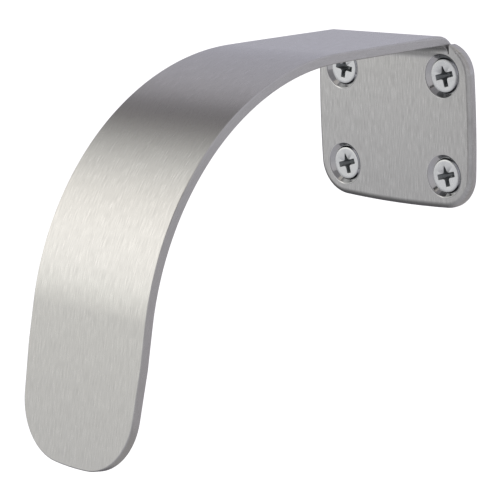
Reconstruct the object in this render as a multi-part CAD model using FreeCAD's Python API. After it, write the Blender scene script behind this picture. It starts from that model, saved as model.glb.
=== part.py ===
import FreeCAD, Part

import math
import os

"""A forearm door pull, bent from one sheet, with its four countersunk screws.

Millimetres. The origin is the centre of the screw pattern on the back of the plate, so the
door's face is the plane y = 0. +Z is up, -Y points out of the door and +X is to the right.
"""

# Sheet
SHEET = 3.57                  # thickness of the sheet, in plate, bend and arm alike
EDGE_BREAK = 0.4              # chamfer of the strip's edges, all round both faces

# Back plate
PLATE_WIDTH = 77.5            # at the middle of its slightly bowed sides
PLATE_HEIGHT = 64.5
PLATE_BOW = 450.0             # radius of the four bowed sides
PLATE_CORNER = 13.5           # corner radius, seen from the front
PLATE_FRONT_ROUND = 2.0       # rounding of the plate's front edge
PLATE_BACK_BREAK = 0.3        # chamfer of the edge against the door

# Bend
ARM_TOP = 34.7                # height of the arm's upper face over the plate's centre
BEND_INNER = 3.4              # inner radius of the bend
RELIEF_WIDTH = 1.8            # notch beside the bend, cut before bending
RELIEF_DEPTH = 0.2            # how far the notch goes below the start of the bend

# Arm
ARM_STRAIGHT = 62.5           # door to the start of the curve, along the upper face
ARM_RADIUS = 100.0            # radius of the curve, on the outer face
ARM_TURN = 77.1               # degrees turned by the curve
ARM_END_RUN = 52.6            # flat run after the curve, on the outer face
ARM_ROOT_WIDTH = 55.2
SIDE_LEAN = 0.37              # degrees by which each side of the arm leans outwards
END_TAPER = 3.0               # degrees by which each side turns in again near the end
END_TAPER_LENGTH = 38.0       # from the tip back to the start of that taper
END_CROWN = 110.0             # radius of the slightly bowed end
END_CORNER = 21.7             # radius of the end's two corners

# Screws
SCREW_SPACING_X = 50.8
SCREW_SPACING_Z = 38.1
SCREW_TURNS = {(1, 1): -14.5, (1, -1): -14.0, (-1, -1): -15.0, (-1, 1): 10.0}
HEAD_RADIUS = 6.2
HEAD_RIM = 0.25               # height of the short cylinder at the head's rim
HEAD_ANGLE = 90.0             # cone angle, of head and countersink
HEAD_RECESS = 1.1             # head's face below the plate's face
SHANK_RADIUS = 3.07
SCREW_LENGTH = 15.9           # head's face to point
POINT_LENGTH = 6.0
POINT_RADIUS = 0.25
SEAT_CLEARANCE = 0.05         # radial gap between head and countersink
LIP_ROUND = 1.9               # rounding of the countersink's mouth

# Cross recess of a screw
CROSS_SPAN = 8.9              # tip to tip of two wings, at the head's face
CROSS_SPAN_DEEP = 3.6         # the same at the bottom of the wings
CROSS_DEPTH = 2.7
CROSS_WING = 1.7              # thickness of a wing
CROSS_CORE = 2.2              # half the diagonal of the four-sided middle, at the head's face
CROSS_TIP_DEPTH = 3.4         # depth of the middle's point

MARGIN = 5.0                  # how far a cutting body reaches past what it cuts
SKIN = 0.5                    # the same, where a cutting body narrows towards the face
FLAT = 1e-6                   # how far apart two heights may be and count as one

BEND_OUTER = BEND_INNER + SHEET
BEND_START = ARM_TOP - BEND_OUTER
ROOT_HALF = ARM_ROOT_WIDTH / 2
LEAN = math.tan(math.radians(SIDE_LEAN))
TAPER = math.tan(math.radians(END_TAPER))
TURN = math.radians(ARM_TURN)
CONE_SLOPE = math.tan(math.radians(HEAD_ANGLE / 2))
X_AXIS = FreeCAD.Vector(1, 0, 0)
Y_AXIS = FreeCAD.Vector(0, 1, 0)


def at(y, z):
    """A point of the side view."""
    return FreeCAD.Vector(0, y, z)


def on_circle(centre, radius, angle):
    """A point of a circle in the side view; the angle runs from straight up towards -Y."""
    return centre + radius * at(-math.sin(angle), math.cos(angle))


def arc_between(centre, radius, start, end):
    middle = (start + end) / 2
    points = [on_circle(centre, radius, angle) for angle in (start, middle, end)]
    return Part.Arc(*points).toShape()


def line_between(start, end):
    return Part.LineSegment(start, end).toShape()


def prism(points, direction):
    """The solid swept by a closed polygon."""
    return Part.Face(Part.makePolygon(points + points[:1])).extrude(direction)


# Side view of the strip

CURVE_CENTRE = at(-ARM_STRAIGHT, ARM_TOP - ARM_RADIUS)
CURVE_END = on_circle(CURVE_CENTRE, ARM_RADIUS, TURN)
END_DIRECTION = at(-math.cos(TURN), -math.sin(TURN))
END_NORMAL = at(-math.sin(TURN), math.cos(TURN))
ARM_TIP = CURVE_END + ARM_END_RUN * END_DIRECTION


def strip_side_view():
    """Closed outline of the strip's edge: bend, straight run, curve and end run."""
    bend_centre = at(-BEND_OUTER, BEND_START)
    foot = BEND_START - RELIEF_DEPTH
    inner_radius = ARM_RADIUS - SHEET
    inner_end = on_circle(CURVE_CENTRE, inner_radius, TURN)
    long_end = (ARM_END_RUN + MARGIN) * END_DIRECTION
    quarter = math.pi / 2
    return Part.Wire([
        line_between(at(0, foot), at(0, BEND_START)),
        arc_between(bend_centre, BEND_OUTER, -quarter, 0),
        line_between(at(-BEND_OUTER, ARM_TOP), at(-ARM_STRAIGHT, ARM_TOP)),
        arc_between(CURVE_CENTRE, ARM_RADIUS, 0, TURN),
        line_between(CURVE_END, CURVE_END + long_end),
        line_between(CURVE_END + long_end, inner_end + long_end),
        line_between(inner_end + long_end, inner_end),
        arc_between(CURVE_CENTRE, inner_radius, TURN, 0),
        line_between(at(-ARM_STRAIGHT, ARM_TOP - SHEET), at(-BEND_OUTER, ARM_TOP - SHEET)),
        arc_between(bend_centre, BEND_INNER, 0, -quarter),
        line_between(at(-SHEET, BEND_START), at(-SHEET, foot)),
        line_between(at(-SHEET, foot), at(0, foot)),
    ])


def half_width(point):
    """Half the arm's width at a point of the side view, before the end's taper."""
    return ROOT_HALF + LEAN * (ARM_TOP - point.z - point.y)


def block_against(point, outwards):
    """A block that lies against the plane through a point, on the side it looks towards."""
    reach = ARM_RADIUS + ARM_STRAIGHT + ARM_END_RUN
    block = Part.makeBox(2 * reach, 2 * reach, reach, FreeCAD.Vector(-reach, -reach, 0))
    turn = FreeCAD.Rotation(FreeCAD.Vector(0, 0, 1), outwards.normalize())
    block.Placement = FreeCAD.Placement(point, turn)
    return block


def beside_arm():
    """What the strip loses on its two sides: beyond the lean, and beyond the end's taper."""
    taper_start = ARM_TIP - END_TAPER_LENGTH * END_DIRECTION
    blocks = []
    for side in (-1, 1):
        root = side * ROOT_HALF * X_AXIS + at(0, ARM_TOP)
        blocks.append(block_against(root, FreeCAD.Vector(side, LEAN, LEAN)))
        shoulder = side * half_width(taper_start) * X_AXIS + taper_start
        blocks.append(block_against(shoulder, side * X_AXIS + TAPER * END_DIRECTION))
    return blocks


def end_zone():
    """A disc across the end run whose rim is the bowed end, and all the space before the run."""
    centre = ARM_TIP - END_CROWN * END_DIRECTION
    reach = SHEET + MARGIN
    crown = Part.makeCylinder(END_CROWN, 2 * reach, centre - reach * END_NORMAL, END_NORMAL)
    depth = 2 * (ARM_RADIUS + ARM_STRAIGHT)
    width = 2 * half_width(ARM_TIP) + 2 * MARGIN
    behind = CURVE_END - depth * END_DIRECTION
    outline = [
        CURVE_END - depth * END_NORMAL,
        CURVE_END + depth * END_NORMAL,
        behind + depth * END_NORMAL,
        behind - depth * END_NORMAL,
    ]
    space = prism(outline, width * X_AXIS)
    space.translate(-width / 2 * X_AXIS)
    return crown.fuse(space)


def crosses_sheet(edge):
    """Whether an edge runs straight through the sheet, from one broad face to the other."""
    return edge.Curve.TypeId == "Part::GeomLine" and abs(edge.Length - SHEET) < FLAT


def end_corners(solid):
    """The two edges through the sheet where the arm's sides meet its bowed end."""
    found = []
    for edge in solid.Edges:
        from_tip = (edge.CenterOfMass - ARM_TIP).dot(END_DIRECTION)
        if crosses_sheet(edge) and from_tip > -END_CORNER:
            found.append(edge)
    return found


def edges_along(solid):
    """The edges of the two broad faces, apart from those of the strip's foot."""
    foot = BEND_START - RELIEF_DEPTH
    found = []
    for edge in solid.Edges:
        box = edge.BoundBox
        on_foot = box.ZMax < foot + FLAT and box.YMin > -2 * SHEET
        if not on_foot and not crosses_sheet(edge):
            found.append(edge)
    return found


def strip():
    """Bend and arm, with leaning sides, a round-cornered end and broken edges."""
    side = Part.Face(strip_side_view())
    width = 2 * half_width(ARM_TIP) + 2 * MARGIN
    side.translate(-width / 2 * X_AXIS)
    blank = side.extrude(width * X_AXIS).cut(beside_arm()).common(end_zone())
    blank = blank.removeSplitter().Solids[0]
    blank = blank.makeFillet(END_CORNER, end_corners(blank))
    return blank.makeChamfer(EDGE_BREAK, edges_along(blank))


# Back plate

def mirrored(point, side_x, side_z):
    """A point of the front view, in the quarter that the two signs name."""
    return FreeCAD.Vector(side_x * point.x, 0, side_z * point.z)


def plate_outline():
    """Four bowed sides and the round corners between them, all tangent to each other."""
    side_centre = FreeCAD.Vector(PLATE_WIDTH / 2 - PLATE_BOW, 0, 0)
    top_centre = FreeCAD.Vector(0, 0, PLATE_HEIGHT / 2 - PLATE_BOW)
    apart = (side_centre - top_centre).Length
    reach = math.sqrt((PLATE_BOW - PLATE_CORNER) ** 2 - apart ** 2 / 4) / apart
    corner = FreeCAD.Vector(
        side_centre.x / 2 - top_centre.z * reach, 0, top_centre.z / 2 - side_centre.x * reach)
    side_end = corner + PLATE_CORNER * (corner - side_centre).normalize()
    top_end = corner + PLATE_CORNER * (corner - top_centre).normalize()
    tip = corner + PLATE_CORNER * (2 * corner - side_centre - top_centre).normalize()
    arcs = []
    for sign in (1, -1):
        side_middle = FreeCAD.Vector(sign * PLATE_WIDTH / 2, 0, 0)
        top_middle = FreeCAD.Vector(0, 0, sign * PLATE_HEIGHT / 2)
        arcs.append((mirrored(side_end, sign, -1), side_middle, mirrored(side_end, sign, 1)))
        arcs.append((mirrored(top_end, -1, sign), top_middle, mirrored(top_end, 1, sign)))
        for side_z in (1, -1):
            arcs.append([mirrored(point, sign, side_z) for point in (side_end, tip, top_end)])
    edges = [Part.Arc(*points).toShape() for points in arcs]
    return Part.Wire(Part.sortEdges(edges)[0])


def plate_blank():
    """The plate before it is cut out for the bend, its front edge round, its back edge broken."""
    block = Part.Face(plate_outline()).extrude(-SHEET * Y_AXIS)
    front = [edge for edge in block.Edges if edge.BoundBox.YMax < -SHEET + FLAT]
    block = block.makeFillet(PLATE_FRONT_ROUND, front)
    back = [edge for edge in block.Edges if edge.BoundBox.YMin > -FLAT]
    return block.makeChamfer(PLATE_BACK_BREAK, back)


def bend_window():
    """What the blank loses at its upper edge: the bend's width and a notch at each side."""
    foot = BEND_START - RELIEF_DEPTH
    half = ROOT_HALF + RELIEF_WIDTH
    corner = FreeCAD.Vector(-half, -SHEET - MARGIN, foot)
    return Part.makeBox(2 * half, SHEET + 2 * MARGIN, PLATE_HEIGHT, corner)


def countersunk_hole():
    """A through hole on the Y axis: cone and rounded mouth."""
    cone_depth = HEAD_RECESS + HEAD_RIM
    face_radius = HEAD_RADIUS + SEAT_CLEARANCE + cone_depth * CONE_SLOPE
    half_turn = (math.pi / 2 - math.radians(HEAD_ANGLE / 2)) / 2
    mouth = face_radius + LIP_ROUND * math.tan(half_turn)
    lip_drop = LIP_ROUND * (1 - math.cos(2 * half_turn))
    lip_end_radius = mouth - LIP_ROUND * math.sin(2 * half_turn)
    back_radius = face_radius - (SHEET + SKIN) * CONE_SLOPE
    lip_middle = FreeCAD.Vector(
        mouth - LIP_ROUND * math.sin(half_turn), -SHEET + LIP_ROUND * (1 - math.cos(half_turn)), 0)
    mouth_edge = FreeCAD.Vector(mouth, -SHEET, 0)
    lip_end = FreeCAD.Vector(lip_end_radius, -SHEET + lip_drop, 0)
    back_edge = FreeCAD.Vector(back_radius, SKIN, 0)
    outline = Part.Wire([
        line_between(FreeCAD.Vector(0, -SHEET - MARGIN, 0), FreeCAD.Vector(mouth, -SHEET - MARGIN, 0)),
        line_between(FreeCAD.Vector(mouth, -SHEET - MARGIN, 0), mouth_edge),
        Part.Arc(mouth_edge, lip_middle, lip_end).toShape(),
        line_between(lip_end, back_edge),
        line_between(back_edge, FreeCAD.Vector(0, SKIN, 0)),
        line_between(FreeCAD.Vector(0, SKIN, 0), FreeCAD.Vector(0, -SHEET - MARGIN, 0)),
    ])
    return Part.Face(outline).revolve(FreeCAD.Vector(0, 0, 0), Y_AXIS, 360)


def screw_place(side_x, side_z):
    return FreeCAD.Vector(side_x * SCREW_SPACING_X / 2, 0, side_z * SCREW_SPACING_Z / 2)


def pull_body():
    plate = plate_blank().cut(bend_window())
    for corner in SCREW_TURNS:
        hole = countersunk_hole()
        hole.translate(screw_place(*corner))
        plate = plate.cut(hole)
    return plate.fuse(strip()).removeSplitter().Solids[0]


# Screws

def pyramid(corners, tip):
    """The solid between a polygon and a point."""
    base = corners + corners[:1]
    faces = [Part.Face(Part.makePolygon(base))]
    for start, end in zip(base[:-1], base[1:]):
        faces.append(Part.Face(Part.makePolygon([start, end, tip, start])))
    return Part.Solid(Part.Shell(faces))


def cross_recess(face):
    """Two crossed wings that narrow downwards, and a four-sided middle, sunk from y = face."""
    above = face - SKIN
    slope = (CROSS_SPAN - CROSS_SPAN_DEEP) / 2 / CROSS_DEPTH
    half_above = CROSS_SPAN / 2 + slope * SKIN
    half_deep = CROSS_SPAN_DEEP / 2
    low = FreeCAD.Vector(0, 0, -CROSS_WING / 2)
    outline = [
        low + FreeCAD.Vector(-half_above, above, 0),
        low + FreeCAD.Vector(half_above, above, 0),
        low + FreeCAD.Vector(half_deep, face + CROSS_DEPTH, 0),
        low + FreeCAD.Vector(-half_deep, face + CROSS_DEPTH, 0),
    ]
    wing = prism(outline, FreeCAD.Vector(0, 0, CROSS_WING))
    across = wing.copy()
    across.rotate(FreeCAD.Vector(0, 0, 0), Y_AXIS, 90)
    reach = CROSS_CORE * (1 + SKIN / CROSS_TIP_DEPTH) / math.sqrt(2)
    corners = [
        FreeCAD.Vector(across_x * reach, above, across_z * reach)
        for across_x, across_z in ((-1, -1), (1, -1), (1, 1), (-1, 1))]
    core = pyramid(corners, FreeCAD.Vector(0, face + CROSS_TIP_DEPTH, 0))
    return wing.fuse(across).fuse(core)


def screw(turn):
    """A pointed screw on the Y axis, its head towards -Y; the thread isn't cut here."""
    face = -SHEET + HEAD_RECESS
    rim = face + HEAD_RIM
    neck = rim + (HEAD_RADIUS - SHANK_RADIUS) / CONE_SLOPE
    point = face + SCREW_LENGTH
    outline = [
        FreeCAD.Vector(0, face, 0),
        FreeCAD.Vector(HEAD_RADIUS, face, 0),
        FreeCAD.Vector(HEAD_RADIUS, rim, 0),
        FreeCAD.Vector(SHANK_RADIUS, neck, 0),
        FreeCAD.Vector(SHANK_RADIUS, point - POINT_LENGTH, 0),
        FreeCAD.Vector(POINT_RADIUS, point, 0),
        FreeCAD.Vector(0, point, 0),
    ]
    turned = Part.Face(Part.makePolygon(outline + outline[:1]))
    blank = turned.revolve(FreeCAD.Vector(0, 0, 0), Y_AXIS, 360)
    recess = cross_recess(face)
    recess.rotate(FreeCAD.Vector(0, 0, 0), Y_AXIS, turn)
    return blank.cut(recess)


def mounting_screws():
    screws = []
    for corner, turn in SCREW_TURNS.items():
        one = screw(turn)
        one.translate(screw_place(*corner))
        screws.append(one)
    return Part.makeCompound(screws)


def main():
    os.makedirs("parts", exist_ok=True)
    nodes = {"pull_body": pull_body(), "mounting_screws": mounting_screws()}
    for name, shape in nodes.items():
        box = shape.optimalBoundingBox(False, False)
        print(name, "solids", len(shape.Solids), "valid", shape.isValid(), "volume", round(shape.Volume, 1))
        print("  x", round(box.XMin, 2), round(box.XMax, 2), "y", round(box.YMin, 2), round(box.YMax, 2),
              "z", round(box.ZMin, 2), round(box.ZMax, 2))
        shape.exportStep("parts/" + name + ".step")


main()
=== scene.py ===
"""Forearm door pull: a bent satin sheet on four screws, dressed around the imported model.

Lengths are in millimetres and turned into metres where a mesh is made. The axes are those
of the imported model: +Z up, -Y out of the door, +X to the right.
"""

import math

import bmesh
import bpy
from mathutils import Matrix, Vector
from mathutils.geometry import delaunay_2d_cdt


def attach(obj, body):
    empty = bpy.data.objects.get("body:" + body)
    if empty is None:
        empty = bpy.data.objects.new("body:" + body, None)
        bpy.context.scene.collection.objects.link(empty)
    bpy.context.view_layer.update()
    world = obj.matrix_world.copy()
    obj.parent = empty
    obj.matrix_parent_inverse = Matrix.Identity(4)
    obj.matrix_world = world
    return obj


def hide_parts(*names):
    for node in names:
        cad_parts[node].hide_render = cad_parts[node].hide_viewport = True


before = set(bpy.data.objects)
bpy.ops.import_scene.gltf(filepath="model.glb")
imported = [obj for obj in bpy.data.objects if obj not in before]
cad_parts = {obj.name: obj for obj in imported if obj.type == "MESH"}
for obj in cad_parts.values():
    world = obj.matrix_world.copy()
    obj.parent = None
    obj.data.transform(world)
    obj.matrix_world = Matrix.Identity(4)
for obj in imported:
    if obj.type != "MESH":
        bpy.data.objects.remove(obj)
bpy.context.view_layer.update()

MM = 0.001

# Sheet and plate
SHEET = 3.57
PLATE_HALF_X = 38.73          # at the middle of the bowed sides
PLATE_HALF_Z = 32.25
PLATE_BOW = 450.0
PLATE_CORNER = 13.5
UPPER_CORNER = 12.2
FRONT_ROUND = 2.0
LOW_ROUND = 2.7               # width of the front rounding along the plate's bottom
BACK_ROUND = 0.3
STRIP_ROUND = 0.45            # both broad faces of the arm
BEND_ROUND = 0.95             # outer edge of the bend
BEND_ROUND_SET_IN = 5.0       # length over which that rounding sets in
BEND_ROUND_FADE = 18.0        # and over which it dies out
STRIP_ROUND_SET_IN = 8.0      # the same for the arm's inner edge
NOTCH_ROUND = 0.18            # edges of the relief notch
EAR_TIP = 0.3                 # corner of the plate beside the notch
EAR_FADE = 3.6                # length over which the front rounding dies out before that corner

# Bend and arm
ARM_TOP = 34.7
BEND_OUTER = 6.97
BEND_START = ARM_TOP - BEND_OUTER
NOTCH_FOOT = BEND_START - 0.2
NOTCH_WIDTH = 1.2
NOTCH_FILLET = 0.15
PLATE_CROWN = 0.04            # lean of the plate's shading at its upper end
EAR_LEAN = 0.10               # the same, the other way, at its two upper corners
EAR_LEAN_ACROSS = 4.0         # it sets in over this width, around the strip's edge
EAR_LEAN_FROM = 20.0
EAR_LEAN_RUN = 7.0
SWELL_SLOPE = 0.33            # the plate's front rises softly into the bend
SWELL_FROM = 24.6
SWELL_RUN = 2.5               # length over which the slope sets in
SWELL_FADE = 4.0              # width over which it dies out towards the notch, and its slope's length
SWELL_STEP = 0.5              # distance between its rows of points
SWELL_ACROSS = 2.5            # and between the points in a row
ROOT_HALF = 27.6
ROOT_SPREAD = 0.85            # the strip bulges a little at the foot of the bend
ROOT_DIP = 0.3                # sag of the strip's top just outside the bend
LEAN = math.tan(math.radians(0.37))
STRAIGHT_END = 62.5
CURVE_RADIUS = 100.0
TURN = math.radians(77.1)
END_RUN = 52.6
TAPER_LENGTH = 38.0
TAPER = math.radians(3.0)
END_CROWN = 110.0
END_CORNER = 21.7

# Developed lengths along the outer face, from the middle of the plate
T_FLAT = BEND_START + BEND_OUTER * math.pi / 2
T_CURVE = T_FLAT + STRAIGHT_END - BEND_OUTER
T_END = T_CURVE + CURVE_RADIUS * TURN
T_TIP = T_END + END_RUN
T_TAPER = T_TIP - TAPER_LENGTH
NOTCH_MIDDLE = ROOT_HALF + (ROOT_SPREAD + NOTCH_WIDTH) / 2
EAR_X = ROOT_HALF + NOTCH_WIDTH

# Holes and screws
HOLE_X = 25.4
HOLE_Z = 19.05
HEAD_RADIUS = 6.2
HEAD_RECESS = 1.1
HEAD_RIM = 0.25
LIP_ROUND = 0.9
SEAT_RADIUS = HEAD_RADIUS + 0.5 + HEAD_RECESS + HEAD_RIM
SHANK_RADIUS = 3.07
SCREW_LENGTH = 15.9
POINT_LENGTH = 6.0
THREAD_PITCH = 2.3
THREAD_DEPTH = 0.27           # of the radius
SCREW_TURNS = {(1, 1): -14.5, (1, -1): -14.0, (-1, -1): -15.0, (-1, 1): 10.0}
HOLE_FOOT = 0.25              # depth left between the cone and the plate's back
HOLE_BACK_ROUND = 0.15
HOLE_STEPS = 96
HOLE_CLEARANCE = 0.4          # kept free of the face's extra points


# The sheet, drawn flat as (x, t) and bent along its length

def eased(part):
    """A smooth step from 0 to 1."""
    part = min(max(part, 0), 1)
    return part * part * (3 - 2 * part)


def bent(x, t):
    """Point, outward normal and direction of travel of the outer face, in the (y, z) plane."""
    if t <= BEND_START or abs(x) > NOTCH_MIDDLE and t < T_FLAT:
        return Vector((0, t)), Vector((1, 0)), Vector((0, 1))
    onset = eased((t - BEND_START) / (T_FLAT - BEND_START))
    fade = eased((T_CURVE - t) / (T_CURVE - T_FLAT))
    top = ARM_TOP - ROOT_DIP * onset * fade
    if t <= T_FLAT:
        turn = (t - BEND_START) / BEND_OUTER
        normal = Vector((math.cos(turn), math.sin(turn)))
        centre = Vector((-BEND_OUTER, top - BEND_OUTER))
        return centre + BEND_OUTER * normal, normal, Vector((-normal.y, normal.x))
    if t <= T_CURVE:
        return Vector((-BEND_OUTER - (t - T_FLAT), top)), Vector((0, 1)), Vector((-1, 0))
    turn = min((t - T_CURVE) / CURVE_RADIUS, TURN)
    normal = Vector((-math.sin(turn), math.cos(turn)))
    along = Vector((-normal.y, normal.x))
    start = Vector((-STRAIGHT_END, ARM_TOP - CURVE_RADIUS)) + CURVE_RADIUS * normal
    return start + max(t - T_END, 0) * along, normal, along


def strip_half(t):
    """Half the strip's width at a length along it."""
    place = bent(0, min(t, T_TAPER))[0]
    width = ROOT_HALF + LEAN * (ARM_TOP - place.x - place.y)
    spread = ROOT_SPREAD * eased((T_FLAT - t) / (T_FLAT - BEND_START))
    return width + spread - math.tan(TAPER) * max(t - T_TAPER, 0)


def swell(x, t):
    """Extra thickness on the front under the bend, and its slope along the strip."""
    across = eased((ROOT_HALF + NOTCH_WIDTH - abs(x)) / SWELL_FADE)
    run = min(t, BEND_START) - SWELL_FROM
    part = min(max(run / SWELL_RUN, 0), 1)
    height = SWELL_RUN * (part ** 3 - part ** 4 / 2) + max(run - SWELL_RUN, 0)
    height *= 1 - eased((t - BEND_START) / (T_FLAT - BEND_START))
    slope = eased(part) * (1 - eased((t - BEND_START) / SWELL_FADE))
    return across * SWELL_SLOPE * height, across * SWELL_SLOPE * slope


def shading_lean(x, t):
    """Upward lean of the front's normals, which shades the plate as the photo shows it."""
    over = (T_FLAT - t) / (T_FLAT - BEND_START) if abs(x) < NOTCH_MIDDLE else 1
    lean = PLATE_CROWN * min(t / BEND_START, 1) * min(max(over, 0), 1) - swell(x, t)[1]
    if t < BEND_START or abs(x) > NOTCH_MIDDLE:
        onset = eased((abs(x) - ROOT_HALF + EAR_LEAN_ACROSS / 2) / EAR_LEAN_ACROSS)
        lean -= EAR_LEAN * onset * eased((t - EAR_LEAN_FROM) / EAR_LEAN_RUN)
    return lean


class Outline:
    """The right half of the blank: points (x, t), outward directions and edge roundings."""

    def __init__(self):
        self.rows = []

    def add(self, x, t, direction, front, back):
        direction = Vector(direction).normalized()
        if self.rows and (Vector((x, t)) - self.rows[-1][0]).length < 1e-4:
            return
        self.rows.append((Vector((x, t)), direction, front, back))

    def line(self, start, end, direction, front, back, steps):
        for k in range(steps + 1):
            point = Vector(start).lerp(Vector(end), k / steps)
            self.add(point.x, point.y, direction, front, back)

    def arc(self, centre, radius, first, last, front, back, steps, hollow=False):
        """front may be a pair, for a rounding that changes along the arc."""
        fronts = front if isinstance(front, tuple) else (front, front)
        for k in range(steps + 1):
            angle = first + (last - first) * k / steps
            away = Vector((math.cos(angle), math.sin(angle)))
            point = Vector(centre) + radius * away
            size = fronts[0] + (fronts[1] - fronts[0]) * k / steps
            self.add(point.x, point.y, -away if hollow else away, size, back)


def strip_rows():
    """Lengths at which the bent part of the strip gets a row of points."""
    rows = [BEND_START + (T_FLAT - BEND_START) * k / 20 for k in range(21)]
    rows += [T_FLAT + (T_CURVE - T_FLAT) * k / 8 for k in range(1, 9)]
    rows += [T_CURVE + (T_END - T_CURVE) * k / 64 for k in range(1, 65)]
    return rows


def plate_corner(radius):
    """Centre of a corner tangent to both bowed sides, and the angles at which it meets them."""
    side_x = PLATE_HALF_X - PLATE_BOW
    top_z = PLATE_HALF_Z - PLATE_BOW
    apart = math.hypot(side_x, top_z)
    reach = math.sqrt((PLATE_BOW - radius) ** 2 - apart ** 2 / 4) / apart
    across = side_x / 2 - top_z * reach
    up = top_z / 2 - side_x * reach
    return across, up, math.atan2(up, across - side_x), math.atan2(up - top_z, across)


def add_plate(out):
    """The plate from the middle of its bottom to the ear beside the notch. Returns the ear's height."""
    quarter = math.pi / 2
    side_x = PLATE_HALF_X - PLATE_BOW
    top_z = PLATE_HALF_Z - PLATE_BOW
    across, up, low_side, low_end = plate_corner(PLATE_CORNER)
    out.arc((0, -top_z), PLATE_BOW, -quarter, -low_end, LOW_ROUND, BACK_ROUND, 10)
    out.arc((across, -up), PLATE_CORNER, -low_end, -low_side, (LOW_ROUND, FRONT_ROUND), BACK_ROUND, 24)
    across, up, high_side, _ = plate_corner(UPPER_CORNER)
    out.arc((side_x, 0), PLATE_BOW, -low_side, high_side, FRONT_ROUND, BACK_ROUND, 12)
    inner = UPPER_CORNER - EAR_TIP
    meet = math.acos((EAR_X + EAR_TIP - across) / inner)
    fade = meet - EAR_FADE / UPPER_CORNER
    tip = (EAR_X + EAR_TIP, up + inner * math.sin(meet))
    out.arc((across, up), UPPER_CORNER, high_side, fade, FRONT_ROUND, BACK_ROUND, 14)
    out.arc((across, up), UPPER_CORNER, fade, meet, (FRONT_ROUND, NOTCH_ROUND), BACK_ROUND, 8)
    out.arc(tip, EAR_TIP, meet, math.pi, NOTCH_ROUND, NOTCH_ROUND, 8)
    return tip[1]


def add_notch(out, ear_t):
    """The relief notch, down the plate's ear and up to the strip."""
    quarter = math.pi / 2
    side = strip_half(NOTCH_FOOT)
    low = NOTCH_FOOT + NOTCH_FILLET
    notch = (NOTCH_ROUND, NOTCH_ROUND)
    out.line((EAR_X, ear_t), (EAR_X, low), (-1, 0), *notch, 3)
    out.arc((EAR_X - NOTCH_FILLET, low), NOTCH_FILLET, 0, -quarter, *notch, 6, hollow=True)
    out.arc((side + NOTCH_FILLET, low), NOTCH_FILLET, -quarter, -2 * quarter, *notch, 6, hollow=True)


def add_strip(out):
    """The strip's side, with its roundings growing out of the notch's small ones."""
    for t in strip_rows() + [T_END + (T_TAPER - T_END) * k / 3 for k in (1, 2)]:
        inner = (STRIP_ROUND - NOTCH_ROUND) * eased((t - T_FLAT) / STRIP_ROUND_SET_IN)
        outer = (BEND_ROUND - NOTCH_ROUND) * eased((t - BEND_START) / BEND_ROUND_SET_IN)
        outer -= (BEND_ROUND - STRIP_ROUND) * eased((t - T_FLAT) / BEND_ROUND_FADE)
        out.add(strip_half(t), t, (1, 0), NOTCH_ROUND + inner, NOTCH_ROUND + outer)


def add_end(out):
    """The arm's end: taper line, corner arc and crowned tip."""
    rounds = (STRIP_ROUND, STRIP_ROUND)
    taper_out = Vector((math.cos(TAPER), math.sin(TAPER)))
    taper_along = Vector((-taper_out.y, taper_out.x))
    shoulder = Vector((strip_half(T_TAPER), T_TAPER))
    crown_centre = Vector((0, T_TIP - END_CROWN))
    base = shoulder - END_CORNER * taper_out - crown_centre
    along = base.dot(taper_along)
    run = -along + math.sqrt(along ** 2 - base.length_squared + (END_CROWN - END_CORNER) ** 2)
    corner = crown_centre + base + run * taper_along
    out.line(shoulder, shoulder + run * taper_along, taper_out, *rounds, 4)
    towards = (corner - crown_centre).normalized()
    crown_angle = math.atan2(towards.y, towards.x)
    out.arc(corner, END_CORNER, TAPER, crown_angle, *rounds, 30)
    out.arc(crown_centre, END_CROWN, crown_angle, math.pi / 2, *rounds, 12)


def half_outline():
    out = Outline()
    add_notch(out, add_plate(out))
    add_strip(out)
    add_end(out)
    return out.rows


def mirrored(rows):
    """The closed outline: the right half, then the left half on the way back."""
    left = []
    for point, away, front, back in reversed(rows[1:-1]):
        left.append((Vector((-point.x, point.y)), Vector((-away.x, away.y)), front, back))
    return rows + left


class SheetMesh:
    """Vertices with their exact normals and flat-pattern coordinates, and the faces between."""

    def __init__(self):
        self.places = []
        self.normals = []
        self.grain = []
        self.faces = []
        self.bored = []

    def vertex(self, x, t, depth, away, tilt, front):
        """A point at a depth under the outer face. tilt turns its normal from the face's outwards."""
        base, normal, along = bent(x, t)
        extra = swell(x, t)[0] if front else 0
        place = base - depth * (1 + extra / SHEET) * normal
        facing = -normal if front else normal
        lean = math.sin(tilt)
        flat = math.cos(tilt)
        self.places.append(Vector((x, place.x, place.y)) * MM)
        crown = shading_lean(x, t) if front else 0
        self.normals.append(Vector((
            away.x * lean,
            facing.x * flat + along.x * away.y * lean,
            facing.y * flat + along.y * away.y * lean + crown * flat)))
        self.grain.append(((x + depth) * MM, t * MM))
        return len(self.places) - 1

    def band(self, first, second, bored=False):
        """Quads between two closed rings of the same count."""
        count = len(first)
        for k in range(count):
            after = (k + 1) % count
            self.faces.append((first[k], first[after], second[after], second[k]))
            self.bored.append(bored)

    def turn_outwards(self):
        """Gives each face the winding that its points' normals ask for."""
        for k, face in enumerate(self.faces):
            a, b, c = (self.places[i] for i in face[:3])
            facing = sum((self.normals[i] for i in face), Vector((0, 0, 0)))
            if (b - a).cross(c - a).dot(facing) < 0:
                self.faces[k] = tuple(reversed(face))


FRONT_STEPS = [math.radians(a) for a in (0, 15, 30, 45, 60, 75, 90)]
BACK_STEPS = [math.radians(a) for a in (90, 60, 30, 0)]


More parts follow.
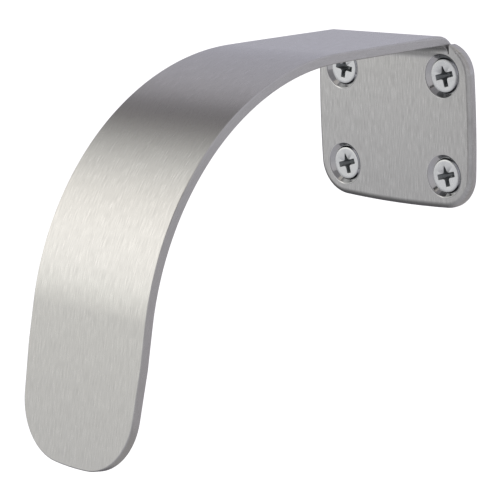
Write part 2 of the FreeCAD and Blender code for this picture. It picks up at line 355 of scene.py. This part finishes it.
def edge_rings(mesh, outline):
    """The sheet's rim, from the front face round to the back face. Returns its two face rings."""
    rings = []
    for angle in FRONT_STEPS:
        ring = []
        for point, away, front, back in outline:
            inset = front * (1 - math.sin(angle))
            x, t = point - inset * away
            drop = min(front, FRONT_ROUND)
            depth = SHEET - drop * (1 - math.cos(angle))
            tilt = math.atan2(drop * math.sin(angle), front * math.cos(angle))
            ring.append(mesh.vertex(x, t, depth, away, tilt, True))
        rings.append(ring)
    for angle in BACK_STEPS:
        ring = []
        for point, away, front, back in outline:
            inset = back * (1 - math.sin(angle))
            x, t = point - inset * away
            ring.append(mesh.vertex(x, t, back * (1 - math.cos(angle)), away, angle, False))
        rings.append(ring)
    for upper, lower in zip(rings[:-1], rings[1:]):
        mesh.band(upper, lower)
    return rings[0], rings[-1]


def hole_profile():
    """(radius, depth, tilt, on the front) down the wall of a countersunk hole."""
    cone = math.radians(45)
    mouth = SEAT_RADIUS + LIP_ROUND * math.tan(cone / 2)
    rows = []
    for k in range(9):
        angle = cone * k / 8
        drop = LIP_ROUND * (1 - math.cos(angle))
        rows.append((mouth - LIP_ROUND * math.sin(angle), SHEET - drop, angle, True))
    top = rows[-1]
    wall = top[1] - HOLE_FOOT
    for part in (0.33, 0.66):
        rows.append((top[0] - wall * part, top[1] - wall * part, cone, True))
    rows.append((top[0] - wall, HOLE_FOOT, cone, True))
    centre_r = top[0] - wall + HOLE_BACK_ROUND * math.sin(cone)
    centre_d = HOLE_FOOT - HOLE_BACK_ROUND * math.cos(cone)
    for k in range(1, 5):
        angle = cone + (math.pi - cone) * k / 4
        radius = centre_r - HOLE_BACK_ROUND * math.sin(angle)
        depth = centre_d + HOLE_BACK_ROUND * math.cos(angle)
        rows.append((radius, depth, angle, True))
    low = rows[-1][1]
    return [(r, max(d - low * (1 - d / SHEET), 0), a, f) for r, d, a, f in rows]


def hole_rings(mesh, centre_x, centre_z):
    """The wall of one hole. Returns its ring on the front face and its ring on the back."""
    rings = []
    for radius, depth, tilt, front in hole_profile():
        ring = []
        for k in range(HOLE_STEPS):
            angle = 2 * math.pi * k / HOLE_STEPS
            away = Vector((math.cos(angle), math.sin(angle)))
            x, t = Vector((centre_x, centre_z)) + radius * away
            ring.append(mesh.vertex(x, t, depth, -away, tilt, front))
        rings.append(ring)
    for upper, lower in zip(rings[:-1], rings[1:]):
        mesh.band(lower, upper, bored=True)
    return rings[0], rings[-1]


def from_hole(point):
    """Distance in the flat pattern from the middle of the nearest hole."""
    return (Vector((abs(point.x), abs(point.y))) - Vector((HOLE_X, HOLE_Z))).length


def fill_face(mesh, rim, holes, outline, depth, front, hole_radius):
    """Triangles over one broad face, with rows of points across the bent part."""
    flat = {}
    for index in rim + [i for ring in holes for i in ring]:
        u, v = mesh.grain[index]
        flat[index] = Vector((u / MM - depth, v / MM))
    points = list(flat)
    count = len(rim)
    edges = [(rim[k], rim[(k + 1) % count]) for k in range(count)]
    for ring in holes:
        edges += [(ring[k], ring[(k + 1) % len(ring)]) for k in range(len(ring))]
    by_row = {}
    for k, (point, away, _, _) in enumerate(outline):
        if abs(point.x) < NOTCH_MIDDLE + 5 and BEND_START - 1e-6 < point.y < T_END + 1e-6:
            if abs(abs(point.x) - strip_half(point.y)) < 1e-6:
                by_row.setdefault(round(point.y, 6), []).append(rim[k])
    for t, ends in by_row.items():
        ends.sort(key=lambda i: flat[i].x)
        left, right = ends[0], ends[-1]
        chain = [left]
        for part in (-0.66, -0.33, 0, 0.33, 0.66):
            index = mesh.vertex(part * strip_half(t), t, depth, Vector((1, 0)), 0, front)
            flat[index] = Vector((part * strip_half(t), t))
            points.append(index)
            chain.append(index)
        chain.append(right)
        edges += list(zip(chain[:-1], chain[1:]))
    if front:
        for row in range(6):
            for column in range(-12, 13):
                place = Vector((SWELL_ACROSS * column, SWELL_FROM + SWELL_STEP * row))
                if from_hole(place) > hole_radius + HOLE_CLEARANCE:
                    index = mesh.vertex(place.x, place.y, depth, Vector((1, 0)), 0, front)
                    flat[index] = place
                    points.append(index)
    number = {index: k for k, index in enumerate(points)}
    coords = [flat[index] for index in points]
    links = [(number[a], number[b]) for a, b in edges]
    result = delaunay_2d_cdt(coords, links, [], 1, 1e-5)
    made, triangles, origins = result[0], result[2], result[3]
    for face in triangles:
        middle = sum((made[k] for k in face), Vector((0, 0))) / len(face)
        if from_hole(middle) > hole_radius:
            mesh.faces.append(tuple(points[origins[k][0]] for k in face))
            mesh.bored.append(False)


# Materials

PLATE_GRAIN = 1.9             # contrast of the colour's streaks below the bend
ARM_GRAIN = 1.2               # and beyond it
FINE_GRAIN = (5600, 300)      # streaks per metre, across the strip and along it
BROAD_GRAIN = (2300, 150)
BUMP_HEIGHT = 0.00002


def material(name):
    """An empty material: itself, its nodes and links, and its shader."""
    made = bpy.data.materials.new(name)
    made.use_nodes = True
    nodes = made.node_tree.nodes
    nodes.clear()
    out = nodes.new("ShaderNodeOutputMaterial")
    shader = nodes.new("ShaderNodeBsdfPrincipled")
    made.node_tree.links.new(shader.outputs[0], out.inputs[0])
    return made, nodes, made.node_tree.links, shader


def grain_coordinates(nodes, links, across, along):
    """The sheet's flat pattern, squeezed so that noise turns into streaks along the grain."""
    flat = nodes.new("ShaderNodeUVMap")
    flat.uv_map = "grain"
    scale = nodes.new("ShaderNodeMapping")
    scale.inputs["Scale"].default_value = (across, along, 1)
    links.new(flat.outputs[0], scale.inputs[0])
    return scale.outputs[0]


def noise(nodes, links, vector, detail, roughness):
    made = nodes.new("ShaderNodeTexNoise")
    made.inputs["Scale"].default_value = 1
    made.inputs["Detail"].default_value = detail
    made.inputs["Roughness"].default_value = roughness
    links.new(vector, made.inputs["Vector"])
    return made.outputs[0]


def ranged(nodes, links, value, low, high, to_low, to_high):
    made = nodes.new("ShaderNodeMapRange")
    for socket, number in zip(made.inputs[1:5], (low, high, to_low, to_high)):
        socket.default_value = number
    links.new(value, made.inputs[0])
    return made.outputs[0]


def blended(nodes, links, factor, first, second):
    made = nodes.new("ShaderNodeMix")
    made.data_type = "RGBA"
    made.inputs[6].default_value = (*first, 1)
    made.inputs[7].default_value = (*second, 1)
    links.new(factor, made.inputs[0])
    return made.outputs[2]


def clouds(nodes, links, scale, detail, roughness):
    """Noise that lies in the piece's own metres."""
    place = nodes.new("ShaderNodeTexCoord")
    soft = noise(nodes, links, place.outputs["Object"], detail, roughness)
    soft.node.inputs["Scale"].default_value = scale
    return soft


def bumped(nodes, links, shader, height, strength):
    bump = nodes.new("ShaderNodeBump")
    bump.inputs["Strength"].default_value = strength
    bump.inputs["Distance"].default_value = BUMP_HEIGHT
    links.new(height, bump.inputs["Height"])
    links.new(bump.outputs[0], shader.inputs["Normal"])


def satin_steel():
    """Brushed along the strip: fine streaks in colour, gloss and height."""
    made, nodes, links, shader = material("satin_steel")
    fine = noise(nodes, links, grain_coordinates(nodes, links, *FINE_GRAIN), 3, 0.6)
    broad = noise(nodes, links, grain_coordinates(nodes, links, *BROAD_GRAIN), 2, 0.5)
    streak = nodes.new("ShaderNodeMath")
    streak.operation = "MULTIPLY_ADD"
    streak.inputs[1].default_value = 0.55
    links.new(fine, streak.inputs[0])
    links.new(ranged(nodes, links, broad, 0, 1, 0, 0.45), streak.inputs[2])
    # The plate's own grain is coarser than the arm's
    parts = nodes.new("ShaderNodeSeparateXYZ")
    links.new(grain_coordinates(nodes, links, 1, 1), parts.inputs[0])
    depth = ranged(nodes, links, parts.outputs[1], BEND_START * MM, T_FLAT * MM, PLATE_GRAIN, ARM_GRAIN)
    contrast = nodes.new("ShaderNodeMath")
    contrast.operation = "MULTIPLY_ADD"
    centred = nodes.new("ShaderNodeMath")
    centred.operation = "SUBTRACT"
    centred.inputs[1].default_value = 0.5
    links.new(streak.outputs[0], centred.inputs[0])
    links.new(centred.outputs[0], contrast.inputs[0])
    links.new(depth, contrast.inputs[1])
    contrast.inputs[2].default_value = 0.5
    colour = blended(nodes, links, ranged(nodes, links, contrast.outputs[0], 0.2, 0.8, 0, 1),
                     (0.50, 0.495, 0.486), (0.69, 0.685, 0.674))
    links.new(colour, shader.inputs["Base Color"])
    links.new(ranged(nodes, links, streak.outputs[0], 0.36, 0.64, 0.33, 0.26), shader.inputs["Roughness"])
    shader.inputs["Metallic"].default_value = 1
    shader.inputs["Anisotropic"].default_value = 0.7
    tangent = nodes.new("ShaderNodeTangent")
    tangent.direction_type = "UV_MAP"
    tangent.uv_map = "grain"
    links.new(tangent.outputs[0], shader.inputs["Tangent"])
    bumped(nodes, links, shader, streak.outputs[0], 0.25)
    return made


def bored_steel():
    """The turned walls of the countersinks, with painted shade where they don't face left."""
    made, nodes, links, shader = material("countersink_steel_painted_shade")
    soft = clouds(nodes, links, 900, 2, 0.5)
    colour = blended(nodes, links, soft, (0.58, 0.575, 0.58), (0.66, 0.655, 0.66))
    facing = nodes.new("ShaderNodeNewGeometry")
    leftward = nodes.new("ShaderNodeVectorMath")
    leftward.operation = "DOT_PRODUCT"
    leftward.inputs[1].default_value = (-1, 1, 0)
    links.new(facing.outputs["Normal"], leftward.inputs[0])
    # Painted shade: the colour is multiplied darker on walls that don't face left
    shade = nodes.new("ShaderNodeMix")
    shade.data_type = "RGBA"
    shade.blend_type = "MULTIPLY"
    shade.inputs[7].default_value = (0.46, 0.47, 0.48, 1)
    links.new(ranged(nodes, links, leftward.outputs["Value"], -1, -0.975, 0, 1), shade.inputs[0])
    links.new(colour, shade.inputs[6])
    links.new(shade.outputs[2], shader.inputs["Base Color"])
    links.new(ranged(nodes, links, soft, 0.3, 0.7, 0.09, 0.14), shader.inputs["Roughness"])
    shader.inputs["Metallic"].default_value = 1
    return made


def zinc():
    """Bright zinc plate: bluish, a little cloudy."""
    made, nodes, links, shader = material("zinc_screw")
    cloud = clouds(nodes, links, 1200, 3, 0.6)
    colour = blended(nodes, links, cloud, (0.71, 0.72, 0.73), (0.80, 0.81, 0.82))
    links.new(colour, shader.inputs["Base Color"])
    links.new(ranged(nodes, links, cloud, 0.3, 0.7, 0.34, 0.26), shader.inputs["Roughness"])
    shader.inputs["Metallic"].default_value = 1
    bumped(nodes, links, shader, cloud, 0.15)
    return made


def recess_painted_shade():
    """The punched walls of a cross recess: duller plating, and a dark colour that paints the recess's
    shade.
    """
    made, nodes, links, shader = material("recess_zinc_painted_shade")
    soft = clouds(nodes, links, 1500, 2, 0.5)
    # Painted shade: a dark colour for the shade deep in the recess
    colour = blended(nodes, links, soft, (0.20, 0.215, 0.22), (0.42, 0.44, 0.45))
    links.new(colour, shader.inputs["Base Color"])
    shader.inputs["Roughness"].default_value = 0.55
    shader.inputs["Metallic"].default_value = 1
    return made


def build_sheet():
    """The whole bent sheet as one closed mesh: plate, bend and arm."""
    mesh = SheetMesh()
    outline = mirrored(half_outline())
    front_rim, back_rim = edge_rings(mesh, outline)
    front_holes, back_holes = [], []
    for sx in (-1, 1):
        for sz in (-1, 1):
            top, low = hole_rings(mesh, sx * HOLE_X, sz * HOLE_Z)
            front_holes.append(top)
            back_holes.append(low)
    inside = math.cos(math.pi / HOLE_STEPS)
    profile = hole_profile()
    fill_face(mesh, front_rim, front_holes, outline, SHEET, True, profile[0][0] * inside)
    fill_face(mesh, back_rim, back_holes, outline, 0, False, profile[-1][0] * inside)
    mesh.turn_outwards()
    data = bpy.data.meshes.new("door_pull_sheet")
    data.from_pydata(mesh.places, [], mesh.faces)
    layer = data.uv_layers.new(name="grain")
    for loop in data.loops:
        layer.data[loop.index].uv = mesh.grain[loop.vertex_index]
    data.materials.append(satin_steel())
    data.materials.append(bored_steel())
    for face, bored in zip(data.polygons, mesh.bored):
        face.use_smooth = True
        face.material_index = 1 if bored else 0
    data.normals_split_custom_set_from_vertices([n.normalized() for n in mesh.normals])
    piece = bpy.data.objects.new("door_pull_sheet", data)
    bpy.context.scene.collection.objects.link(piece)
    return piece


# Screws

WING_REACH = 4.3
WING_HALF = 1.0
TIP_ROUND = 0.24
CORE_FILLET = 0.8
# Rows of the recess from its bottom to the face: the six sizes of cross_outline, and the depth
RECESS = [
    (0.6, 0.3, 0.1, 0.14, 0.3, 0.6, 3.3),
    (1.9, 0.55, 0.14, 0.5, 0.35, 1.7, 3.0),
    (2.6, 0.7, 0.15, 0.6, 0.3, 2.3, 2.5),
    (4.02, 0.94, 0.2, 0.78, 0.14, 3.6, 0.3),
    (4.14, 1.0, 0.2, 0.8, 0.16, 3.75, 0.15),
    (4.26, 1.07, 0.24, 0.82, 0.66, 4.5, 0.06),
]
RECESS_BOTTOM = 3.45
# Radius and depth of the dished face and the head's rounded rim
HEAD = [(5.3, 0.02), (6.16, 0), (6.22, 0.03), (6.26, 0.09), (6.28, 0.16), (6.29, 0.28), (6.2, 0.4)]
NECK_ABOVE = 0.3              # cone and shank meet over these two lengths
NECK_BELOW = 0.15
THREAD_ROWS = 12              # rows of points in one pitch
THREAD_CREST = 0.12           # width of crest and of flank, as shares of half a pitch
THREAD_FLANK = 0.55
THREAD_RUN_IN = 2.0
POINT_RADIUS = 0.25
POINT_END = 0.3               # length of the last cone


def cross_outline(reach, half, tip, fillet, point, upper):
    """A cross with hollow corners, the same number of points for any size.

    The upper wing has a reach of its own and narrows to the half width point at its end.
    """
    quadrant = [(reach, 0.0)]
    for k in range(5):
        angle = math.pi / 2 * k / 4
        quadrant.append((reach - tip + tip * math.cos(angle), half - tip + tip * math.sin(angle)))
    start = reach - tip
    stop = half + fillet
    for k in range(1, 5):
        quadrant.append((start + (stop - start) * k / 5, half))
    for k in range(7):
        angle = -math.pi / 2 - math.pi / 2 * k / 6
        quadrant.append((stop + fillet * math.cos(angle), stop + fillet * math.sin(angle)))
    full = quadrant + [(b, a) for a, b in reversed(quadrant[1:10])]
    points = []
    for turn in range(4):
        c, s = math.cos(turn * math.pi / 2), math.sin(turn * math.pi / 2)
        for a, b in full:
            x, z = c * a - s * b, s * a + c * b
            if z > half and abs(x) <= half + fillet:
                part = (z - half) / (reach - half)
                x *= 1 - (1 - point / half) * part
                z = half + (upper - half) * part
            points.append((x, z))
    return points


def screw_mesh(name, turn, steel, shade):
    """A countersunk cross-recess wood screw on the Y axis, its face at y = 0, pointing to +Y."""
    bm = bmesh.new()
    spin = math.radians(-turn)

    def ring(points, y):
        made = []
        for a, b in points:
            x = a * math.cos(spin) - b * math.sin(spin)
            z = a * math.sin(spin) + b * math.cos(spin)
            made.append(bm.verts.new((x * MM, y * MM, z * MM)))
        return made

    def join(first, second):
        for k in range(len(first)):
            after = (k + 1) % len(first)
            bm.faces.new((first[k], first[after], second[after], second[k]))

    rim = cross_outline(WING_REACH, WING_HALF, TIP_ROUND, CORE_FILLET, WING_HALF, WING_REACH)
    angles = [math.atan2(b, a) for a, b in rim]

    def circle(radius):
        return [(radius * math.cos(a), radius * math.sin(a)) for a in angles]

    # Recess, face, rim and the cone under the head
    rings = [ring(cross_outline(*sizes), depth) for *sizes, depth in RECESS]
    for radius, depth in HEAD:
        rings.append(ring(circle(radius), depth))
    neck = HEAD_RIM + HEAD_RADIUS - SHANK_RADIUS
    rings.append(ring(circle(SHANK_RADIUS + NECK_ABOVE), neck - NECK_ABOVE))
    rings.append(ring(circle(SHANK_RADIUS), neck + NECK_BELOW))
    centre = bm.verts.new((0, RECESS_BOTTOM * MM, 0))
    for k in range(len(rings[0])):
        bm.faces.new((centre, rings[0][(k + 1) % len(rings[0])], rings[0][k]))
    for inner, outer in zip(rings[:-1], rings[1:]):
        join(inner, outer)
    recess_faces = len(rings[0]) * (len(RECESS) - 1)
    # Threaded shank down to the point
    row = neck + NECK_BELOW
    step = THREAD_PITCH / THREAD_ROWS
    previous = rings[-1]
    while row < SCREW_LENGTH - POINT_END:
        row += step
        room = min(1, (SCREW_LENGTH - row) / POINT_LENGTH)
        fade = min(1, (row - neck) / THREAD_RUN_IN)
        points = []
        for angle in angles:
            phase = (row / THREAD_PITCH - angle / (2 * math.pi)) % 1
            valley = min(1, max(0, (abs(phase - 0.5) * 2 - THREAD_CREST) / THREAD_FLANK))
            crest = POINT_RADIUS + (SHANK_RADIUS - POINT_RADIUS) * room
            radius = crest * (1 - THREAD_DEPTH * fade * valley)
            points.append((radius * math.cos(angle), radius * math.sin(angle)))
        current = ring(points, row)
        join(previous, current)
        previous = current
    tip = bm.verts.new((0, SCREW_LENGTH * MM, 0))
    for k in range(len(previous)):
        bm.faces.new((previous[k], previous[(k + 1) % len(previous)], tip))
    bmesh.ops.recalc_face_normals(bm, faces=bm.faces)
    data = bpy.data.meshes.new(name)
    bm.to_mesh(data)
    bm.free()
    for face in data.polygons:
        face.use_smooth = True
        # The recess walls get the material with painted shade
        face.material_index = 1 if face.index < recess_faces else 0
    data.set_sharp_from_angle(angle=math.radians(32))
    data.materials.append(steel)
    data.materials.append(shade)
    return data


def build_screws():
    steel = zinc()
    shade = recess_painted_shade()
    screws = []
    for (sx, sz), turn in SCREW_TURNS.items():
        name = "screw_" + ("right" if sx > 0 else "left") + ("_top" if sz > 0 else "_bottom")
        data = screw_mesh(name, turn, steel, shade)
        place = Vector((sx * HOLE_X, -SHEET + HEAD_RECESS, sz * HOLE_Z))
        data.transform(Matrix.Translation(place * MM))
        piece = bpy.data.objects.new(name, data)
        bpy.context.scene.collection.objects.link(piece)
        screws.append(piece)
    return screws


# Floor, light and camera

FLOOR_HALF = 9.0              # metres
FLOOR_LEVEL = -0.75


def build_floor():
    """A plain pale floor, low enough that the pull's shadow on it is faint."""
    data = bpy.data.meshes.new("floor")
    corners = [(sx * FLOOR_HALF, sy * FLOOR_HALF, FLOOR_LEVEL)
               for sx, sy in ((-1, -1), (1, -1), (1, 1), (-1, 1))]
    data.from_pydata(corners, [], [(0, 1, 2, 3)])
    made, nodes, links, shader = material("floor_pale")
    soft = clouds(nodes, links, 1, 2, 0.5)
    colour = blended(nodes, links, soft, (0.94, 0.94, 0.94), (0.96, 0.96, 0.96))
    links.new(colour, shader.inputs["Base Color"])
    shader.inputs["Roughness"].default_value = 0.8
    shader.inputs["Emission Color"].default_value = (1, 1, 1, 1)
    shader.inputs["Emission Strength"].default_value = 0.6
    data.materials.append(made)
    floor = bpy.data.objects.new("floor", data)
    floor.visible_glossy = False
    bpy.context.scene.collection.objects.link(floor)
    return floor


# Brightness of the room round the X axis: degrees from the front over the top, and colour
ROOM = [
    (-180, (0.60, 0.60, 0.67)),
    (-165, (0.55, 0.54, 0.58)),
    (-150, (0.52, 0.49, 0.53)),
    (-125, (0.09, 0.09, 0.10)),
    (-100, (0.08, 0.08, 0.09)),
    (-64, (0.12, 0.12, 0.12)),
    (-38, (0.40, 0.40, 0.41)),
    (-22, (0.66, 0.66, 0.675)),
    (-10, (0.78, 0.78, 0.79)),
    (0, (0.83, 0.825, 0.805)),
    (6, (1.08, 1.07, 1.02)),
    (15, (1.42, 1.41, 1.34)),
    (25, (1.55, 1.52, 1.45)),
    (42, (1.63, 1.59, 1.51)),
    (56, (1.48, 1.44, 1.36)),
    (71, (1.08, 1.07, 1.03)),
    (85, (0.56, 0.56, 0.54)),
    (94, (0.20, 0.18, 0.18)),
    (98, (0.04, 0.03, 0.03)),
    (105, (0.01, 0.01, 0.01)),
    (107, (0.30, 0.28, 0.29)),
    (110, (0.52, 0.50, 0.53)),
    (125, (0.52, 0.51, 0.56)),
    (150, (0.50, 0.495, 0.56)),
    (163, (0.54, 0.54, 0.635)),
    (171, (0.68, 0.68, 0.76)),
]

# The same for directions that lie to the right of the pull
ROOM_RIGHT = [
    (-180, (0.58, 0.58, 0.64)),
    (-168, (0.50, 0.49, 0.52)),
    (-166, (0.44, 0.43, 0.44)),
    (-163, (0.51, 0.50, 0.53)),
    (-150, (0.50, 0.48, 0.51)),
    (-125, (0.40, 0.39, 0.39)),
    (-100, (0.42, 0.41, 0.42)),
    (-78, (0.45, 0.44, 0.46)),
    (-60, (0.47, 0.47, 0.50)),
    (-40, (0.48, 0.48, 0.51)),
    (-22, (0.49, 0.49, 0.515)),
    (-8, (0.53, 0.53, 0.55)),
    (22, (0.55, 0.54, 0.56)),
    (47, (0.53, 0.52, 0.53)),
    (48, (0.01, 0.01, 0.01)),
    (53, (0.01, 0.01, 0.01)),
    (54, (0.56, 0.53, 0.50)),
    (60, (0.56, 0.54, 0.51)),
    (72, (0.54, 0.53, 0.54)),
    (94, (0.54, 0.53, 0.57)),
    (114, (0.55, 0.54, 0.59)),
    (150, (0.58, 0.575, 0.63)),
    (171, (0.68, 0.68, 0.76)),
]
RIGHT_FROM = -0.52            # sideways part of the direction at which the second table sets in
RIGHT_TO = -0.32


def room_ramp(nodes, links, turn, table):
    """The room's colour at a turn from 0 to 1, which stands for -180 to 180 degrees."""
    ramp = nodes.new("ShaderNodeValToRGB")
    ramp.color_ramp.interpolation = "LINEAR"
    links.new(turn, ramp.inputs[0])
    stops = ramp.color_ramp.elements
    while len(stops) < len(table):
        stops.new(0.5)
    for stop, (degrees, colour) in zip(stops, table):
        stop.position = (degrees + 180) / 360
        stop.color = (*colour, 1)
    return ramp.outputs[0]


def build_room():
    world = bpy.data.worlds.new("studio")
    bpy.context.scene.world = world
    world.use_nodes = True
    nodes, links = world.node_tree.nodes, world.node_tree.links
    nodes.clear()
    out = nodes.new("ShaderNodeOutputWorld")
    glow = nodes.new("ShaderNodeBackground")
    links.new(glow.outputs[0], out.inputs[0])
    place = nodes.new("ShaderNodeTexCoord")
    split = nodes.new("ShaderNodeSeparateXYZ")
    links.new(place.outputs["Generated"], split.inputs[0])
    front = nodes.new("ShaderNodeMath")
    front.operation = "MULTIPLY"
    front.inputs[1].default_value = -1
    links.new(split.outputs[1], front.inputs[0])
    angle = nodes.new("ShaderNodeMath")
    angle.operation = "ARCTAN2"
    links.new(split.outputs[2], angle.inputs[0])
    links.new(front.outputs[0], angle.inputs[1])
    turn = ranged(nodes, links, angle.outputs[0], -math.pi, math.pi, 0, 1)
    mix = nodes.new("ShaderNodeMix")
    mix.data_type = "RGBA"
    links.new(ranged(nodes, links, split.outputs[0], RIGHT_FROM, RIGHT_TO, 0, 1), mix.inputs[0])
    links.new(room_ramp(nodes, links, turn, ROOM), mix.inputs[6])
    links.new(room_ramp(nodes, links, turn, ROOM_RIGHT), mix.inputs[7])
    links.new(mix.outputs[2], glow.inputs[0])
    glow.inputs[1].default_value = 1


CAMERA_PLACE = (496.7364, -566.223, 121.543)
CAMERA_AZIMUTH = 45.771
CAMERA_ELEVATION = 12.7978
CAMERA_ROLL = -2.4407
CAMERA_FRAME = 500            # pixels across the photo
CAMERA_FOCAL = 1966.7732      # in those pixels


def build_camera():
    """The camera that was fitted to the photograph."""
    azimuth = math.radians(CAMERA_AZIMUTH)
    elevation = math.radians(CAMERA_ELEVATION)
    roll = math.radians(CAMERA_ROLL)
    level = math.cos(elevation)
    back = Vector((math.sin(azimuth) * level, -math.cos(azimuth) * level, math.sin(elevation)))
    right = Vector((math.cos(azimuth), math.sin(azimuth), 0))
    up = back.cross(right)
    rolled_right = math.cos(roll) * right + math.sin(roll) * up
    rolled_up = -math.sin(roll) * right + math.cos(roll) * up
    data = bpy.data.cameras.new("photo_camera")
    data.sensor_width = 36
    data.lens = CAMERA_FOCAL / CAMERA_FRAME * data.sensor_width
    data.clip_start = 0.01
    camera = bpy.data.objects.new("photo_camera", data)
    turn = Matrix((rolled_right, rolled_up, back)).transposed().to_4x4()
    camera.matrix_world = Matrix.Translation(Vector(CAMERA_PLACE) * MM) @ turn
    bpy.context.scene.collection.objects.link(camera)
    bpy.context.scene.camera = camera


sheet = build_sheet()
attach(sheet, "root")
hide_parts("pull_body")
for screw in build_screws():
    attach(screw, "root")
    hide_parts("mounting_screws")
build_floor()
build_room()
build_camera()
bpy.context.scene.view_settings.view_transform = "Standard"
